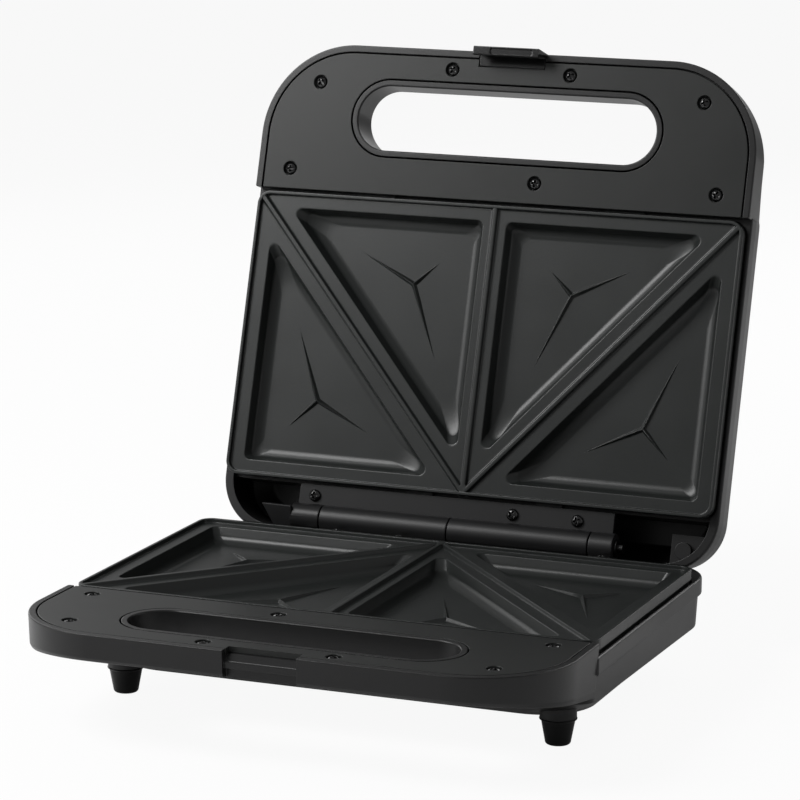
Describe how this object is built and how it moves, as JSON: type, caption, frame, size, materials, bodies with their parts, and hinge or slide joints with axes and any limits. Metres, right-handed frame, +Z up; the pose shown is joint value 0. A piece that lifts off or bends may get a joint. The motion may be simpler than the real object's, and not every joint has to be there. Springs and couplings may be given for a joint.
{
  "type": "sandwich toaster",
  "caption": "Hinged countertop sandwich toaster: two handled halves with triangular-pocket non-stick plates, a rear hinge and a sprung front catch, standing open.",
  "frame": {"origin": "on the table, under the middle of the open toaster's outline", "axes": "+Z up, front (the handles) towards -Y, +X to the right seen from the front"},
  "size_m": [0.23, 0.2884, 0.2512],
  "materials": {
    "black_phenolic": "moulded black phenolic, satin",
    "grey_cover": "moulded plate, fine matt texture",
    "nonstick_plate": "cast, with a dark grey non-stick coating",
    "element_steel": "tubular heating element",
    "shield_steel": "pressed sheet",
    "black_metal": "steel strip, black satin",
    "bright_steel": "plain round steel",
    "ceramic": "heat-proof insulator",
    "black_rubber": "moulded rubber, matt",
    "lens": "clear tinted plastic",
    "lamp_glass": "small glow lamp",
    "lever_plastic": "moulded lever, glossy black",
    "black_screw": "black pan-head screw",
    "plain_screw": "plain pan-head screw"
  },
  "bodies": {
    "base": {"base_shell": "black_phenolic", "base_handle_cover": "grey_cover", "base_plate": "nonstick_plate", "base_heater": "element_steel", "base_heat_shield": "shield_steel", "base_hinge_leaf": "black_metal", "hinge_pin": "bright_steel", "hinge_pin_clip": "bright_steel", "thermostat": "ceramic", "thermal_fuse": "ceramic", "terminal_block": "ceramic", "cord_gland": "black_rubber", "foot_front_left": "black_rubber", "foot_front_right": "black_rubber", "foot_rear_left": "black_rubber", "foot_rear_right": "black_rubber", "base_cover_screw_1": "black_screw", "base_cover_screw_2": "black_screw", "base_cover_screw_3": "black_screw", "base_cover_screw_4": "black_screw", "base_cover_screw_5": "black_screw", "base_cover_screw_6": "black_screw", "base_cover_screw_7": "black_screw", "base_shield_screw_1": "plain_screw", "base_shield_screw_2": "plain_screw", "base_shield_screw_3": "plain_screw", "base_shield_screw_4": "plain_screw", "base_hinge_screw_1": "black_screw", "base_hinge_screw_2": "black_screw", "base_hinge_screw_3": "black_screw"},
    "lid": {"lid_shell": "black_phenolic", "lid_handle_cover": "grey_cover", "lid_plate": "nonstick_plate", "lid_heater": "element_steel", "lid_heat_shield": "shield_steel", "lid_hinge_leaf": "black_metal", "power_lens": "lens", "ready_lens": "lens", "power_lamp": "lamp_glass", "ready_lamp": "lamp_glass", "latch_pin": "bright_steel", "latch_spring": "bright_steel", "lid_cover_screw_1": "black_screw", "lid_cover_screw_2": "black_screw", "lid_cover_screw_3": "black_screw", "lid_cover_screw_4": "black_screw", "lid_cover_screw_5": "black_screw", "lid_cover_screw_6": "black_screw", "lid_cover_screw_7": "black_screw", "lid_shield_screw_1": "plain_screw", "lid_shield_screw_2": "plain_screw", "lid_shield_screw_3": "plain_screw", "lid_shield_screw_4": "plain_screw", "lid_hinge_screw_1": "black_screw", "lid_hinge_screw_2": "black_screw", "lid_hinge_screw_3": "black_screw"},
    "latch": {"latch_lever": "lever_plastic"}
  },
  "joints": [
    {"name": "lid_hinge", "type": "hinge", "parent": "base", "child": "lid", "pos_m": [0, 0.06759, 0.04615], "axis": [1, 0, 0], "range_deg": [0, 107.6]},
    {"name": "latch_pivot", "type": "hinge", "parent": "lid", "child": "latch", "pos_m": [0, 0.13501, 0.24298], "axis": [-1, 0, 0], "range_deg": [0, 10], "stiffness_Nm_per_rad": 0.05, "springref_deg": -17.19}
  ]
}
